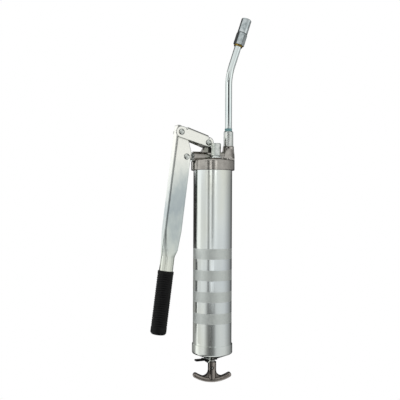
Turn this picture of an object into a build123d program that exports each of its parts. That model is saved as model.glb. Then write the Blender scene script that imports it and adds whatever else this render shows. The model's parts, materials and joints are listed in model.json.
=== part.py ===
from build123d import *
import os
from math import asin, cos, degrees, radians, sin, sqrt, tan

# Lever-action grease gun: pump head, cartridge barrel, follower rod, lever linkage, spout and coupler.
# Millimetres.  +Z points up along the barrel.  The origin is on the barrel axis, in the plane of the
# lower edge of the pump head, where the barrel screws in.  The lever hangs towards -X, the spout
# stands at +X, and the bulk loader fitting faces -Y.

# ---------------------------------------------------------------- clearances
RUNNING_FIT = 0.05          # radial, pins and rods that turn or slide in their holes
SLIDING_GAP = 0.3           # flat faces that pass each other
THREAD_FIT = 0.05           # radial, barrel thread in the head
BALL_GAP = 0.1              # a check ball off its seat

# ---------------------------------------------------------------- barrel and end cap
BARREL_OD = 57.15
BARREL_WALL = 1.2
BARREL_VISIBLE = 255.0      # from the head down to the end cap
BARREL_IN_HEAD = 9.0
BARREL_IN_CAP = 7.0
CAP_WALL = 1.2
CAP_SHEET = 1.3
CAP_SKIRT = 13.5
CAP_CONE_DROP = 8.3
CAP_NECK_R = 8.5
GUIDE_LENGTH = 9.0

# ---------------------------------------------------------------- pump head casting
COLLAR_WALL = 3.4
COLLAR_HEIGHT = 15.5
GASKET_THICKNESS = 1.7
PUMP_Z = 19.0               # height of the plunger axis
PUMP_HOUSING_WALL = 2.5     # round the gland
PLUNGER_D = 8.0
PACKING_SECTION = 1.8
GLAND_DEPTH = 9.5
EAR_THICKNESS = 9.0
EAR_BOSS_R = 6.6
EAR_WAIST = 2.6             # from the link pin back to the ear's rear flank, under the boss
EAR_SPREAD = 5.6            # how far each flank runs out on its way down
BOSS_TOP_R = 8.3
BOSS_ROOT_R = 14.5
BOSS_FLARE = 17.0           # height of the concave flare
BOSS_TOP_Z = 36.2
DUCT_D = 3.6

# ---------------------------------------------------------------- outlet, spout and coupler
BALL_D = 5.2
VALVE_BORE_D = 6.2
VALVE_SEAT_Z = 22.0
ADAPTER_WALL = 2.2
ADAPTER_TOP_Z = 58.5
ADAPTER_THREAD_R = 5.8
ADAPTER_THREAD = 6.0
SPOUT_OD = 10.2
SPOUT_BORE = 4.0
SPOUT_SOCKET = 12.0         # length of the spout inside the adapter
SPOUT_BEND_Z = 126.0        # where the bend starts
SPOUT_BEND_R = 93.0
SPOUT_TILT = 18.5           # degrees
SPOUT_UPPER = 31.8          # straight length above the bend, to the coupler
SEALANT_BAND = 4.2

COUPLER_RING = 2.2
COUPLER_HEX_AF = 14.29      # 9/16 inch
COUPLER_HEX = 18.8
COUPLER_TURN = -20.0
COUPLER_NOSE_D = 15.2
COUPLER_NOSE = 23.0
COUPLER_MOUTH_D = 8.6
JAW_OD = 10.4
JAW_BORE = 6.8
JAW_LENGTH = 6.0
JAW_COUNT = 4
JAW_SLOT = 0.8
JAW_TRAVEL = 1.6

# ---------------------------------------------------------------- loader fitting
LOADER_HEX_AF = 12.7        # 1/2 inch
LOADER_TURN = -5.0
LOADER_LINK_GAP = 1.125     # hexagon to the link that swings past it
LOADER_BASE_R = 8.3
LOADER_HEIGHT = 21.7
LOADER_BASE = 3.7
LOADER_THREAD_R = 4.75
LOADER_BORE_D = 7.2
LOADER_BALL_D = 6.0
LOADER_SOCKET_D = 5.0       # takes the filler pump's nozzle
LOADER_SOCKET = 6.0
LOADER_SEAT_D = 3.6
LOADER_SEAT = 2.0

# ---------------------------------------------------------------- lever linkage
PIN_D = 6.0
PIN_HEAD_R = 4.4
PIN_HEAD = 1.8
CLIP_R = 4.4
CLIP_T = 0.8
LEVER_WIDTH = 19.5
LEVER_SHEET = 2.0
LEVER_DEPTH = 24.7
LEVER_CORNER_R = 3.0
LEVER_TILT = 7.2            # degrees off the barrel axis
LEVER_EAR_R = 8.2
LEVER_BACK_MARGIN = 5.4     # from the lever's back to its pivot pin
LEVER_SHOULDER_R = 14.0     # where the channel is deepest, beside the plunger pin
LEVER_SHOULDER_RISE = 4.5   # of that curve's centre above the plunger pin
LEVER_ARM = 36.4            # lever pivot pin to plunger pin
LEVER_LENGTH = 290.5        # lever pivot pin to the end of the handle tube
LEVER_EDGE_R = 0.8          # front edges of the channel
TUBE_OD = 20.0
TUBE_LENGTH = 110.5
TUBE_SET_IN = 1.55          # tube's back, in from the channel's back
CLOSING_LENGTH = 10.0       # where the channel's flanges roll together into the tube
CORNER_DEPTH = 22.5         # channel, from its back line to its front where the closing starts
CORNER_SET_IN = 0.9
CORNER_BACK_R = 7.5
TAPER_LENGTH = 28.0         # over which the channel narrows to that corner
LINK_LENGTH = 43.8
LINK_SLOPE = 19.0           # degrees, falling towards the head
LINK_SHEET = 2.5
LINK_LEVER_EAR_R = 8.3
LINK_HEAD_EAR_R = 7.0
LINK_FAR_EAR_R = 5.0        # far plate, at the lever
LINK_WEB_HEIGHT = 10.2
LINK_WEB_START = 7.2        # from the lever pivot pin
LINK_WEB_STOP = 2.8         # short of the link pin
LINK_NOTCH = 1.5
LINK_BEND_R = 3.5
LINK_SKIRT = 0.5            # straight side under the bend
PLUNGER_STROKE = 26.0
PIN_DRIFT = 1.7             # how far the plunger pin leaves the plunger axis over the stroke
GRIP_OD = 23.2
GRIP_LENGTH = 92.0
GRIP_END_WALL = 2.6
GRIP_RIB_PITCH = 3.2
GRIP_RIB_DEPTH = 0.7

# ---------------------------------------------------------------- follower, rod and T-handle
ROD_D = 8.0
FOLLOWER_CUP_GAP = 0.4
FOLLOWER_CUP_HEIGHT = 12.0
FOLLOWER_TOP_Z = -6.0
FOLLOWER_SPRING_TURNS = 15
FOLLOWER_WIRE = 2.2
FOLLOWER_SPRING_R = 20.0
HANDLE_SPAN = 57.0
HANDLE_NECK_R = 6.2
HANDLE_PIN_R = 1.5
HANDLE_TOP_GAP = 4.6        # neck top below the end cap, for the latch
HANDLE_DROP = 30.5          # neck top to the lowest point
HANDLE_THICKNESS = 7.0
HANDLE_WIDTH = 10.5
HANDLE_ARC_R = 52.0
HANDLE_EDGE_R = 3.0
HANDLE_FLARE = 8.5
HANDLE_WEB = 7.6
ROD_IN_HANDLE = 16.0
HANDLE_TURN = -14.0         # the rod turns freely; the bar rests at this angle
LATCH_LENGTH = 33.5
LATCH_OUTER_X = -26.5
LATCH_WIDTH = 10.0
LATCH_PLATE = 1.5
LATCH_TILT = 1.0
LATCH_DROP = 1.45           # plate centre below the cap, at its fulcrum
LATCH_BRACKET_ARM = 2.2
LATCH_BRACKET_SHEET = 1.5

# ---------------------------------------------------------------- values that follow
BARREL_R = BARREL_OD / 2
BARREL_BORE_R = BARREL_R - BARREL_WALL
BARREL_LOW = -(BARREL_VISIBLE + BARREL_IN_CAP)
COLLAR_R = BARREL_R + THREAD_FIT + COLLAR_WALL
CEILING_Z = BARREL_IN_HEAD + SLIDING_GAP + GASKET_THICKNESS
GLAND_D = PLUNGER_D + 2 * PACKING_SECTION
PUMP_HOUSING_R = GLAND_D / 2 + PUMP_HOUSING_WALL
HOUSING_END_X = -COLLAR_R
OUTLET_X = COLLAR_R - BOSS_TOP_R + 0.9
ADAPTER_R = SPOUT_OD / 2 + ADAPTER_WALL
CHAMBER_END_X = OUTLET_X - 10.0
LOADER_X = -2.7
LOADER_SEAT_Z = COLLAR_HEIGHT + 0.5
LOADER_WASHER = 0.8

PLUNGER_PIN_X = -(COLLAR_R + 11.9)
PLUNGER_PIN = Vector(PLUNGER_PIN_X, 0, PUMP_Z)
LEVER_UP = Vector(sin(radians(LEVER_TILT)), 0, cos(radians(LEVER_TILT)))
LEVER_ACROSS = Vector(cos(radians(LEVER_TILT)), 0, -sin(radians(LEVER_TILT)))
PIN_ACROSS = 13.2           # plunger pin ahead of the lever pivot, across the lever
PIN_ALONG = sqrt(LEVER_ARM ** 2 - PIN_ACROSS ** 2)
LEVER_PIN = PLUNGER_PIN - LEVER_ACROSS * PIN_ACROSS + LEVER_UP * PIN_ALONG
LINK_ALONG = Vector(cos(radians(LINK_SLOPE)), 0, -sin(radians(LINK_SLOPE)))
LINK_PIN = LEVER_PIN + LINK_ALONG * LINK_LENGTH

LEVER_HALF = LEVER_WIDTH / 2
LINK_INNER = LEVER_HALF + SLIDING_GAP
LINK_OUTER = LINK_INNER + LINK_SHEET
LOADER_Y = -(LINK_OUTER + LOADER_LINK_GAP + LOADER_HEX_AF / 2)
LEVER_FRAME = Location(LEVER_PIN - LEVER_ACROSS * LEVER_BACK_MARGIN, (0, LEVER_TILT, 0))
LINK_FRAME = Location(LEVER_PIN, (0, LINK_SLOPE, 0))

CAP_R = BARREL_R + CAP_WALL
CAP_TOP_Z = -BARREL_VISIBLE
CAP_CORNER_Z = CAP_TOP_Z - CAP_SKIRT
CAP_LOW_Z = CAP_CORNER_Z - CAP_CONE_DROP
HANDLE_TOP_Z = CAP_LOW_Z - HANDLE_TOP_GAP
HANDLE_LOW_Z = HANDLE_TOP_Z - HANDLE_DROP
LATCH_Z = CAP_LOW_Z - LATCH_DROP
FULCRUM_X = -9.0

SPOUT_LOW_Z = ADAPTER_TOP_Z - SPOUT_SOCKET
BEND_ANGLE = radians(SPOUT_TILT)
COUPLER_BASE = Vector(
    OUTLET_X + SPOUT_BEND_R * (1 - cos(BEND_ANGLE)) + SPOUT_UPPER * sin(BEND_ANGLE),
    0,
    SPOUT_BEND_Z + SPOUT_BEND_R * sin(BEND_ANGLE) + SPOUT_UPPER * cos(BEND_ANGLE),
)
COUPLER_FRAME = Location(COUPLER_BASE, (0, SPOUT_TILT, 0))
COUPLER_THREAD = 9.0        # spout end inside the coupler

FROM_BELOW = (Align.CENTER, Align.CENTER, Align.MIN)


# ---------------------------------------------------------------- helpers
def bar(radius, low, high):
    """A round bar on the Z axis from low to high."""
    return Pos(0, 0, low) * Cylinder(radius, high - low, align=FROM_BELOW)


def ring(outer, inner, low, high):
    """A tube on the Z axis."""
    return bar(outer, low, high) - bar(inner, low - 1, high + 1)


def cone(low_radius, high_radius, low, high):
    """A frustum on the Z axis."""
    return Pos(0, 0, low) * Cone(low_radius, high_radius, high - low, align=FROM_BELOW)


def hexagon(across_flats, low, high, turn=0.0, both_ends=False):
    """A hexagon bar on the Z axis, its corners dressed by a 30 degree cone at the top or at both ends."""
    blank = extrude(Pos(0, 0, low) * Rot(0, 0, turn) * RegularPolygon(across_flats / 2, 6, False), high - low)
    corner = across_flats / sqrt(3)
    dress = (corner - across_flats / 2) * tan(radians(30))
    crown = cone(corner, across_flats / 2, high - dress, high)
    foot = cone(across_flats / 2, corner, low, low + dress) if both_ends else bar(corner, low, low + dress)
    return blank & (foot + bar(corner, low + dress, high - dress) + crown)


def along_x(shape):
    """Turns a shape built on Z so that it lies on X."""
    return Rot(0, 90, 0) * shape


def along_y(shape):
    """Turns a shape built on Z so that it lies on Y."""
    return Rot(-90, 0, 0) * shape


def side_plate(sketch, y_low, y_high):
    """Extrudes a sketch drawn as (x, z) between two Y planes."""
    placed = Plane(origin=(0, y_high, 0), x_dir=(1, 0, 0), z_dir=(0, -1, 0)) * sketch
    return extrude(placed, y_high - y_low)


def coil(mean_radius, wire, low, high, turns):
    """A round-wire spring on the Z axis that fills low to high."""
    height = high - low - wire
    path = Helix(height / turns, height, mean_radius)
    section = Plane(path @ 0, z_dir=path % 0) * Circle(wire / 2)
    return Pos(0, 0, low + wire / 2) * sweep(section, path, is_frenet=True)


def pivot_pin(centre, y_face, y_back):
    """A pin along Y: domed head outside y_face, groove for a clip outside y_back."""
    groove = y_back + SLIDING_GAP
    tail = groove + CLIP_T + 1.0
    dome = (PIN_HEAD_R ** 2 + PIN_HEAD ** 2) / (2 * PIN_HEAD)
    head = bar(PIN_HEAD_R, y_face - PIN_HEAD, y_face) & Pos(0, 0, y_face - PIN_HEAD + dome) * Sphere(dome)
    shank = bar(PIN_D / 2, y_face, tail)
    shank = chamfer(shank.edges().group_by(Axis.Z)[-1], 0.5)
    shank -= ring(PIN_D, PIN_D / 2 - 0.6, groove, groove + CLIP_T)
    return Pos(centre) * along_y(head + shank)


def pin_clip(centre, y_back):
    """An open retaining clip in the pin's groove."""
    groove = y_back + SLIDING_GAP
    washer = ring(CLIP_R, PIN_D / 2 - 0.6, groove, groove + CLIP_T)
    mouth = Pos(0, CLIP_R, groove + CLIP_T / 2) * Box(PIN_D - 1.6, 2 * CLIP_R, 2 * CLIP_T)
    return Pos(centre) * along_y(washer - mouth)


def pin_hole(centre, radius):
    """A cutter along Y through the whole linkage."""
    return Pos(centre) * along_y(bar(radius, -2 * LINK_OUTER, 2 * LINK_OUTER))


# ---------------------------------------------------------------- pump head
def ear_sketch():
    """Side outline of the upright ear: a flank that runs out on each side, up to the round boss."""
    x, z = LINK_PIN.X, LINK_PIN.Z
    foot = PUMP_Z + PUMP_HOUSING_R - 1.5
    rear, front = x - EAR_WAIST, x + EAR_BOSS_R
    stem = make_face(Polyline(
        (front, z),
        (front, z - EAR_BOSS_R),
        (front + EAR_SPREAD, foot),
        (front + EAR_SPREAD, PUMP_Z),
        (rear - EAR_SPREAD, PUMP_Z),
        (rear - EAR_SPREAD, foot),
        (rear, z - EAR_BOSS_R + 0.6),
        (rear, z),
        close=True,
    ))
    return stem + Pos(x, z) * Circle(EAR_BOSS_R)


def outlet_boss():
    """Upright boss under the outlet adapter, flared where it grows out of the collar."""
    low, root = COLLAR_HEIGHT - 4, COLLAR_HEIGHT + 2.5
    flare_top = root + BOSS_FLARE
    waist = (BOSS_TOP_R + (BOSS_ROOT_R - BOSS_TOP_R) * 0.25, root + BOSS_FLARE * 0.5)
    flare = ThreePointArc((BOSS_ROOT_R, root), waist, (BOSS_TOP_R, flare_top))
    above = Polyline((BOSS_TOP_R, flare_top), (BOSS_TOP_R, BOSS_TOP_Z), (0, BOSS_TOP_Z), (0, low))
    below = Polyline((0, low), (BOSS_ROOT_R, low), (BOSS_ROOT_R, root))
    boss = Pos(OUTLET_X, 0, 0) * revolve(Plane.XZ * make_face(flare + above + below), Axis.Z)
    return boss & bar(COLLAR_R, 0, BOSS_TOP_Z)


def head_blank():
    """The outside of the casting."""
    collar = bar(COLLAR_R, 0, COLLAR_HEIGHT)
    collar = fillet(collar.edges().group_by(Axis.Z)[-1], 2.2)
    collar = chamfer(collar.edges().group_by(Axis.Z)[0], 0.6)
    housing = bar(PUMP_HOUSING_R, HOUSING_END_X, OUTLET_X)
    housing = Pos(0, 0, PUMP_Z) * along_x(fillet(housing.edges().group_by(Axis.Z)[0], 1.0))
    ear = side_plate(ear_sketch(), -EAR_THICKNESS / 2, EAR_THICKNESS / 2)
    ear_boss = Pos(LINK_PIN) * along_y(bar(EAR_BOSS_R, -LEVER_HALF, LEVER_HALF))
    saddle = Pos(0, 0, COLLAR_HEIGHT - 1) * Box(
        OUTLET_X - LINK_PIN.X, 2 * PUMP_HOUSING_R, PUMP_Z - COLLAR_HEIGHT + 1,
        align=(Align.MIN, Align.CENTER, Align.MIN),
    )
    saddle = Pos(LINK_PIN.X, 0, 0) * saddle
    pad = Pos(LOADER_X, LOADER_Y, 0) * bar(LOADER_BASE_R + 0.9, COLLAR_HEIGHT - 3, LOADER_SEAT_Z)
    return collar + housing + ear + ear_boss + outlet_boss() + saddle + pad


def head_passages():
    """Everything drilled and bored in the casting."""
    barrel_thread = bar(BARREL_R + THREAD_FIT, -1, CEILING_Z)
    pump_bore = bar(PLUNGER_D / 2 + RUNNING_FIT, HOUSING_END_X - 1, CHAMBER_END_X)
    gland = bar(GLAND_D / 2, HOUSING_END_X - 1, HOUSING_END_X + GLAND_DEPTH)
    duct = bar(DUCT_D / 2, CHAMBER_END_X - 1, OUTLET_X)
    across = Pos(0, 0, PUMP_Z) * along_x(pump_bore + gland + duct)
    inlet_x = CHAMBER_END_X - PLUNGER_STROKE + 7
    inlet = Pos(inlet_x, 0, 0) * bar(2.5, CEILING_Z - 1, PUMP_Z)
    riser = bar(DUCT_D / 2, PUMP_Z, VALVE_SEAT_Z + 1)
    valve_bore = bar(VALVE_BORE_D / 2, VALVE_SEAT_Z, BOSS_TOP_Z)
    socket = bar(ADAPTER_THREAD_R, BOSS_TOP_Z - ADAPTER_THREAD, BOSS_TOP_Z + 1)
    outlet = Pos(OUTLET_X, 0, 0) * (riser + valve_bore + socket)
    loader = Pos(LOADER_X, LOADER_Y, 0) * bar(LOADER_THREAD_R, CEILING_Z - 1, LOADER_SEAT_Z + 1)
    return barrel_thread + across + inlet + outlet + loader + pin_hole(LINK_PIN, PIN_D / 2)


def head_casting():
    return head_blank() - head_passages()


def head_gasket():
    return ring(BARREL_R, BARREL_BORE_R - 1.5, CEILING_Z - GASKET_THICKNESS, CEILING_Z)


def plunger_packing():
    packing = ring(GLAND_D / 2, PLUNGER_D / 2 + RUNNING_FIT, 5.5, GLAND_DEPTH)
    return Pos(HOUSING_END_X, 0, PUMP_Z) * along_x(packing)


def packing_nut():
    """Gland nut: threaded plug with a slotted flange outside the housing."""
    flange = 1.5
    nut = bar(GLAND_D / 2, 0, 5.5) + bar(GLAND_D / 2 + 1.0, -flange, 0)
    nut -= bar(PLUNGER_D / 2 + RUNNING_FIT, -flange - 1, 7)
    nut -= Pos(0, 0, -flange) * Box(1.6, 3 * GLAND_D, 1.6)
    return Pos(HOUSING_END_X, 0, PUMP_Z) * along_x(nut)


def at_loader(shape):
    return Pos(LOADER_X, LOADER_Y, 0) * shape


LOADER_LOW_Z = LOADER_SEAT_Z + LOADER_WASHER
LOADER_TOP_Z = LOADER_LOW_Z + LOADER_HEIGHT
LOADER_THROAT_Z = LOADER_TOP_Z - LOADER_SOCKET - LOADER_SEAT
LOADER_BALL_Z = LOADER_THROAT_Z - sqrt((LOADER_BALL_D / 2) ** 2 - (LOADER_SEAT_D / 2) ** 2) - BALL_GAP
LOADER_RETAINER_Z = LOADER_LOW_Z + 0.5


def loader_body():
    """Hexagon fitting with a flared foot, a threaded shank and a ball-check bore."""
    foot = cone(LOADER_BASE_R, LOADER_HEX_AF / sqrt(3), LOADER_LOW_Z + 1.2, LOADER_LOW_Z + LOADER_BASE)
    foot += bar(LOADER_BASE_R, LOADER_LOW_Z, LOADER_LOW_Z + 1.2)
    body = foot + hexagon(LOADER_HEX_AF, LOADER_LOW_Z, LOADER_TOP_Z, LOADER_TURN)
    body += bar(LOADER_THREAD_R, CEILING_Z, LOADER_LOW_Z)
    body -= bar(LOADER_BORE_D / 2, CEILING_Z - 1, LOADER_THROAT_Z)
    body -= bar(LOADER_SEAT_D / 2, LOADER_THROAT_Z - 1, LOADER_TOP_Z)
    body -= bar(LOADER_SOCKET_D / 2, LOADER_TOP_Z - LOADER_SOCKET, LOADER_TOP_Z + 1)
    body -= cone(LOADER_SOCKET_D / 2, LOADER_SOCKET_D / 2 + 1.5, LOADER_TOP_Z - 1.5, LOADER_TOP_Z)
    return at_loader(body)


def loader_washer():
    return at_loader(ring(LOADER_BASE_R - 0.3, LOADER_THREAD_R, LOADER_SEAT_Z, LOADER_LOW_Z))


def loader_retainer():
    return at_loader(ring(LOADER_BORE_D / 2, 1.5, LOADER_RETAINER_Z - 2.0, LOADER_RETAINER_Z))


def loader_ball():
    return at_loader(Pos(0, 0, LOADER_BALL_Z) * Sphere(LOADER_BALL_D / 2))


def loader_spring():
    wire = 0.7
    return at_loader(coil(2.4, wire, LOADER_RETAINER_Z, LOADER_BALL_Z - LOADER_BALL_D / 2 + 0.6, 5))


# ---------------------------------------------------------------- outlet, spout and coupler
BALL_Z = VALVE_SEAT_Z + sqrt((BALL_D / 2) ** 2 - (DUCT_D / 2) ** 2) + BALL_GAP
VALVE_POCKET_Z = BOSS_TOP_Z + 2.5


def outlet_adapter():
    """Tapered sleeve that screws into the outlet boss and takes the spout."""
    sleeve = cone(ADAPTER_R, ADAPTER_R - 0.25, BOSS_TOP_Z, ADAPTER_TOP_Z)
    sleeve = chamfer(sleeve.edges().group_by(Axis.Z)[-1], 1.0)
    sleeve += bar(ADAPTER_THREAD_R, BOSS_TOP_Z - ADAPTER_THREAD, BOSS_TOP_Z)
    sleeve -= bar(VALVE_BORE_D / 2, BOSS_TOP_Z - ADAPTER_THREAD - 1, VALVE_POCKET_Z)
    sleeve -= bar(SPOUT_BORE / 2, VALVE_POCKET_Z - 1, SPOUT_LOW_Z)
    sleeve -= bar(SPOUT_OD / 2, SPOUT_LOW_Z, ADAPTER_TOP_Z + 1)
    return Pos(OUTLET_X, 0, 0) * sleeve


def check_ball():
    return Pos(OUTLET_X, 0, BALL_Z) * Sphere(BALL_D / 2)


def check_spring():
    wire = 0.6
    return Pos(OUTLET_X, 0, 0) * coil(2.0, wire, BALL_Z + BALL_D / 2 - 0.7, VALVE_POCKET_Z, 6)


def spout_path():
    start = Vector(OUTLET_X, 0, SPOUT_LOW_Z)
    knee = Vector(OUTLET_X, 0, SPOUT_BEND_Z)
    run = Line(start, knee)
    bend = TangentArc(knee, knee_end(), tangent=(0, 0, 1))
    tip = COUPLER_BASE + Vector(sin(BEND_ANGLE), 0, cos(BEND_ANGLE)) * COUPLER_THREAD
    return Wire([run, bend, Line(knee_end(), tip)])


def knee_end():
    """Where the bend ends and the upper straight starts."""
    across = SPOUT_BEND_R * (1 - cos(BEND_ANGLE))
    return Vector(OUTLET_X + across, 0, SPOUT_BEND_Z + SPOUT_BEND_R * sin(BEND_ANGLE))


def spout():
    """The rigid extension: a straight steel pipe with one gentle bend."""
    path = spout_path()
    section = Pos(OUTLET_X, 0, SPOUT_LOW_Z) * (Circle(SPOUT_OD / 2) - Circle(SPOUT_BORE / 2))
    return sweep(section, path)


def sealant_band():
    """Thread sealant left round the spout above the adapter."""
    band = ring(SPOUT_OD / 2 + 0.35, SPOUT_OD / 2, ADAPTER_TOP_Z, ADAPTER_TOP_Z + SEALANT_BAND)
    return Pos(OUTLET_X, 0, 0) * band


HEX_TOP = COUPLER_RING + COUPLER_HEX
NOSE_TOP = HEX_TOP + COUPLER_NOSE
NOSE_LIP = 1.8
JAW_TOP = NOSE_TOP - NOSE_LIP - SLIDING_GAP
JAW_LOW = JAW_TOP - JAW_LENGTH
SEAL_LENGTH = 3.0
SEAL_LOW = JAW_LOW - SEAL_LENGTH
COUPLER_SPRING_WIRE = 0.8
COUPLER_SPRING_TURNS = 3
SPIGOT_TOP = SEAL_LOW - (COUPLER_SPRING_TURNS + 1) * COUPLER_SPRING_WIRE - JAW_TRAVEL - 0.5


def at_coupler(shape):
    return COUPLER_FRAME * shape


def coupler_ring():
    return at_coupler(ring(6.5, SPOUT_OD / 2, 0, COUPLER_RING))


def coupler_body():
    """Hexagon body, threaded for the spout below and for the nose above."""
    body = hexagon(COUPLER_HEX_AF, COUPLER_RING, HEX_TOP, COUPLER_TURN, both_ends=True)
    body += bar(5.6, HEX_TOP, SPIGOT_TOP)
    body -= bar(SPOUT_OD / 2, COUPLER_RING - 1, COUPLER_THREAD)
    body -= bar(1.6, COUPLER_THREAD - 1, SPIGOT_TOP + 1)
    return at_coupler(body)


def coupler_nose():
    """Sleeve over the jaws, with a conical lip that closes them on the nipple."""
    nose = bar(COUPLER_NOSE_D / 2, HEX_TOP, NOSE_TOP)
    nose = fillet(nose.edges().group_by(Axis.Z)[-1], 1.2)
    nose = chamfer(nose.edges().group_by(Axis.Z)[0], 0.5)
    nose -= bar(5.6, HEX_TOP - 1, JAW_TOP + SLIDING_GAP)
    nose -= bar(COUPLER_MOUTH_D / 2, HEX_TOP, NOSE_TOP + 1)
    return at_coupler(nose)


def coupler_jaws():
    """Four gripping segments, all loose inside the nose."""
    jaws = ring(JAW_OD / 2, JAW_BORE / 2, JAW_LOW, JAW_TOP)
    for index in range(JAW_COUNT // 2):
        slot = Pos(0, 0, (JAW_LOW + JAW_TOP) / 2) * Box(JAW_OD + 2, JAW_SLOT, JAW_LENGTH + 2)
        jaws -= Rot(0, 0, index * 360 / JAW_COUNT) * slot
    return at_coupler(jaws)


def coupler_seal():
    """Rubber seal that pushes on the jaws."""
    return at_coupler(ring(JAW_OD / 2, 1.3, SEAL_LOW, JAW_LOW))


def coupler_spring():
    return at_coupler(coil(3.6, COUPLER_SPRING_WIRE, SPIGOT_TOP, SEAL_LOW, COUPLER_SPRING_TURNS))


# ---------------------------------------------------------------- lever linkage
def plunger():
    """Pump plunger with a flat eye; the eye's slot lets the lever pin rise and fall."""
    tip_x = CHAMBER_END_X - 3.0
    eye_length, eye_height, eye_thickness = 14.5, 16.4, 9.0
    eye_x = PLUNGER_PIN_X - 0.75
    rod = Pos(0, 0, PUMP_Z) * along_x(bar(PLUNGER_D / 2, eye_x + eye_length / 2 - 1, tip_x))
    rod = chamfer(rod.edges().group_by(Axis.X)[-1], 0.6)
    outline = Pos(eye_x, PUMP_Z) * RectangleRounded(eye_length, eye_height, 4.0)
    slot_width = PIN_D + 0.6
    slot_height = slot_width + 2 * PIN_DRIFT + 0.2
    slot = Pos(PLUNGER_PIN_X, PUMP_Z) * Rot(0, 0, 90) * SlotOverall(slot_height, slot_width)
    return side_plate(outline - slot, -eye_thickness / 2, eye_thickness / 2) + rod


def link_outline(lever_ear_r):
    """Side outline of a link plate, in the link's own frame."""
    lever_end = Circle(lever_ear_r)
    head_end = Pos(LINK_LENGTH + 0.3, 0.9) * Circle(LINK_HEAD_EAR_R)
    return make_hull((lever_end + head_end).edges())


def link_web():
    """The bent top of the link, a channel section carried along the link."""
    rise = LINK_BEND_R + LINK_SKIRT
    low = LINK_WEB_HEIGHT - rise
    outside = Pos(0, low) * Rectangle(2 * LINK_OUTER, rise, align=(Align.CENTER, Align.MIN))
    outside = fillet(outside.vertices().group_by(Axis.Y)[-1], LINK_BEND_R)
    inside = Pos(0, low) * Rectangle(2 * LINK_INNER, rise - LINK_SHEET, align=(Align.CENTER, Align.MIN))
    inside = fillet(inside.vertices().group_by(Axis.Y)[-1], LINK_BEND_R - LINK_SHEET)
    across = Plane(origin=(LINK_WEB_START, 0, 0), x_dir=(0, 1, 0), z_dir=(1, 0, 0))
    return extrude(across * (outside - inside), LINK_LENGTH - LINK_WEB_STOP - LINK_WEB_START)


def link_channel():
    """Inverted channel link: two eared plates joined by a bent web between relief notches."""
    near = side_plate(link_outline(LINK_LEVER_EAR_R), -LINK_OUTER, -LINK_INNER)
    far = side_plate(link_outline(LINK_FAR_EAR_R), LINK_INNER, LINK_OUTER)
    start, stop = LINK_WEB_START - LINK_NOTCH, LINK_LENGTH - LINK_WEB_STOP + LINK_NOTCH
    bend_low = LINK_WEB_HEIGHT - LINK_BEND_R - LINK_SKIRT
    clear = Pos((start + stop) / 2, 0, bend_low) * Box(stop - start, 4 * LINK_OUTER, 20, align=FROM_BELOW)
    rise = side_plate(
        Pos(LINK_WEB_START, 0) * Rectangle(
            LINK_LENGTH - LINK_WEB_STOP - LINK_WEB_START, bend_low, align=(Align.MIN, Align.MIN)),
        LINK_INNER, LINK_OUTER)
    link = LINK_FRAME * (near + far + rise - clear + link_web())
    return link - pin_hole(LEVER_PIN, PIN_D / 2) - pin_hole(LINK_PIN, PIN_D / 2 + RUNNING_FIT)


CHANNEL_LENGTH = LEVER_LENGTH - TUBE_LENGTH - CLOSING_LENGTH
TUBE_R = TUBE_OD / 2
TUBE_X = TUBE_SET_IN + TUBE_R
TUBE_START_Z = -CHANNEL_LENGTH - CLOSING_LENGTH
LEVER_TOP_Z = LEVER_EAR_R + 1.4


def channel_section(z, back, front, half, back_r, wall):
    """Box section of the lever at a height; wall insets it for the inside."""
    inset = Pos((back + front) / 2, 0) * Rectangle(front - back - 2 * wall, 2 * (half - wall))
    rounded = fillet(inset.vertices().group_by(Axis.X)[0], max(back_r - wall, LEVER_EDGE_R))
    return Pos(0, 0, z) * fillet(rounded.vertices().group_by(Axis.X)[-1], LEVER_EDGE_R)


def tube_section(z, wall):
    """The tube's circle in eight arcs, which meet the sides and corners of the box sections."""
    radius = TUBE_R - wall
    corners = [sign * 45 + turn for turn in (0, 180) for sign in (-1, 1)]
    stops = sorted((corner + half) % 360 for corner in corners for half in (-30, 30))
    arcs = [
        CenterArc((TUBE_X, 0), radius, start, (stop - start) % 360)
        for start, stop in zip(stops, stops[1:] + stops[:1])
    ]
    return Pos(0, 0, z) * make_face(arcs)


def lever_form(wall):
    """The lever's envelope: channel, taper, closing and tube; wall insets it for the inside."""
    corner_half = (LEVER_HALF + TUBE_R) / 2
    top = channel_section(LEVER_TOP_Z + 1, 0, LEVER_DEPTH, LEVER_HALF, LEVER_CORNER_R, wall)
    taper_z = -CHANNEL_LENGTH + TAPER_LENGTH
    start = channel_section(taper_z, 0, LEVER_DEPTH, LEVER_HALF, LEVER_CORNER_R, wall)
    corner = channel_section(-CHANNEL_LENGTH, CORNER_SET_IN, CORNER_DEPTH, corner_half, CORNER_BACK_R, wall)
    mouth = tube_section(TUBE_START_Z, wall)
    channel = extrude(top, -(LEVER_TOP_Z + 1 - taper_z))
    tube = Pos(TUBE_X, 0, 0) * bar(TUBE_R - wall, -LEVER_LENGTH - wall, TUBE_START_Z)
    return channel + loft([start, corner]) + loft([corner, mouth]) + tube


def lever_outline():
    """Side outline that trims the lever: ear at the pivot, widest near the plunger pin, whole below."""
    shoulder_z = -PIN_ALONG + LEVER_SHOULDER_RISE
    ear = Pos(LEVER_BACK_MARGIN, 0) * Circle(LEVER_EAR_R)
    shoulder = Pos(LEVER_DEPTH - LEVER_SHOULDER_R, shoulder_z) * Circle(LEVER_SHOULDER_R)
    back = Pos(0, LEVER_TOP_Z) * Rectangle(3.0, 4.0, align=(Align.MIN, Align.MAX))
    head = make_hull((ear + shoulder + back).edges())
    below = Pos(-1, shoulder_z) * Rectangle(LEVER_DEPTH + 2, LEVER_LENGTH, align=(Align.MIN, Align.MAX))
    return head + below


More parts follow.
